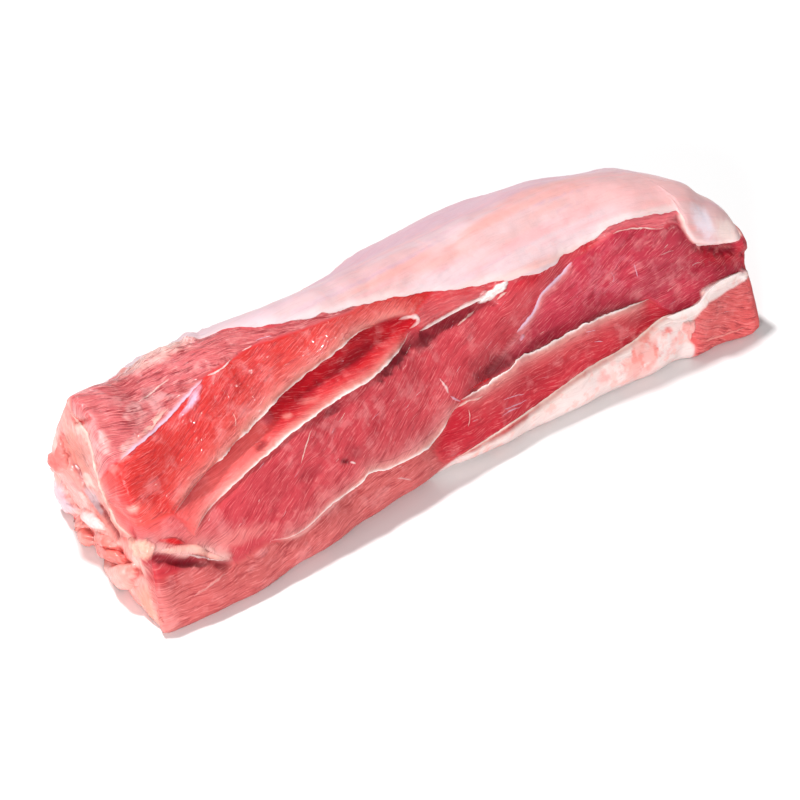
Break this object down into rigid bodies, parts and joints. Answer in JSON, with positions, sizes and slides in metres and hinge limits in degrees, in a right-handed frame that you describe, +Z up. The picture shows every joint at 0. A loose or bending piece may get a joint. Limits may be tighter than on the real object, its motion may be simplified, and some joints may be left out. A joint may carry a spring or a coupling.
{
  "type": "veal shoulder roast",
  "caption": "Long boneless block of raw veal shoulder, trimmed square at one end, with muscle seams, fat and a silverskin cap, lying on its flat side.",
  "frame": {"origin": "on the face that the roast lies on, under its long axis and half-way along it", "axes": "+X along the roast from the trimmed end to the narrow tail, -Y towards the cut side, +Z up"},
  "size_m": [0.291, 0.1125, 0.0748],
  "materials": {
    "meat": "moist raw meat, satin with wet highlights"
  },
  "bodies": {
    "root": {"veal_shoulder": "meat"}
  },
  "joints": []
}
